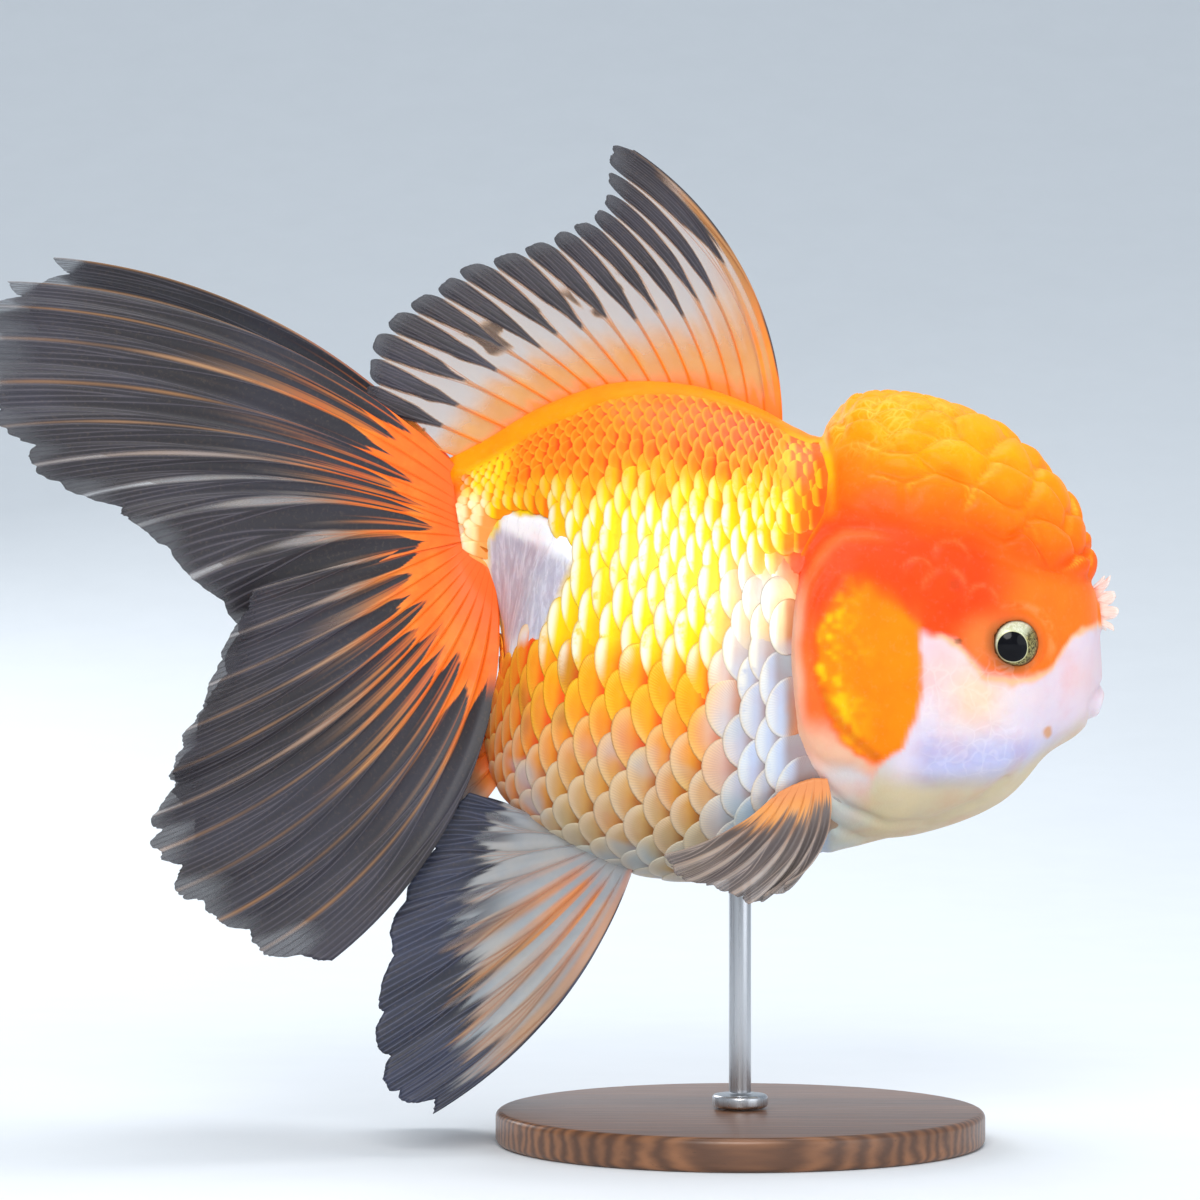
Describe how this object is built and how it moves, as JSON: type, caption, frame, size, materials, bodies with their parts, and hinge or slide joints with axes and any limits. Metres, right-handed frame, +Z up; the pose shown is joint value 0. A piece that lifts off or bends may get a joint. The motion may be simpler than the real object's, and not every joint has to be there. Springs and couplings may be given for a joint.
{
  "type": "hooded fancy goldfish model on a display stand",
  "caption": "Life-size still model of a hooded fancy goldfish with a raised dorsal fin and a trailing double tail, held by a rod over a round display base.",
  "frame": {"origin": "centre of the underside of the stand's round base, on the floor", "axes": "+X towards the fish's head, +Z up, so the fish's right side faces -Y"},
  "size_m": [0.1995, 0.088, 0.1809],
  "materials": {
    "scaled_skin": "glossy overlapping scales, orange back, metallic gold flank, pearly belly",
    "hood_skin": "moist granular hood, orange with yellow creases",
    "gill_skin": "glossy orange and gold gill cover",
    "face_skin": "pearly white cheek and snout under an orange brow",
    "lip_skin": "moist white lips",
    "fin": "thin charcoal membrane over orange rays, clear in places",
    "eye": "clear glossy eye, black pupil in a silver and gold ring",
    "stand_wood": "dark stained wood, satin",
    "stand_metal": "brushed"
  },
  "bodies": {
    "root": {"head": "face_skin", "hood": "hood_skin", "lips": "lip_skin", "nose_flap_right": "hood_skin", "nose_flap_left": "hood_skin", "eye_right": "eye", "eye_left": "eye", "gill_cover_right": "gill_skin", "gill_cover_left": "gill_skin", "trunk": "scaled_skin", "tail_root": "scaled_skin", "dorsal_fin": "fin", "tail_fin_upper_right": "fin", "tail_fin_upper_left": "fin", "tail_fin_lower_right": "fin", "tail_fin_lower_left": "fin", "pelvic_fin_right": "fin", "pelvic_fin_left": "fin", "pectoral_fin_right": "fin", "pectoral_fin_left": "fin", "anal_fin_right": "fin", "anal_fin_left": "fin", "stand_base": "stand_wood", "stand_collar": "stand_metal", "stand_rod": "stand_metal"}
  },
  "joints": []
}
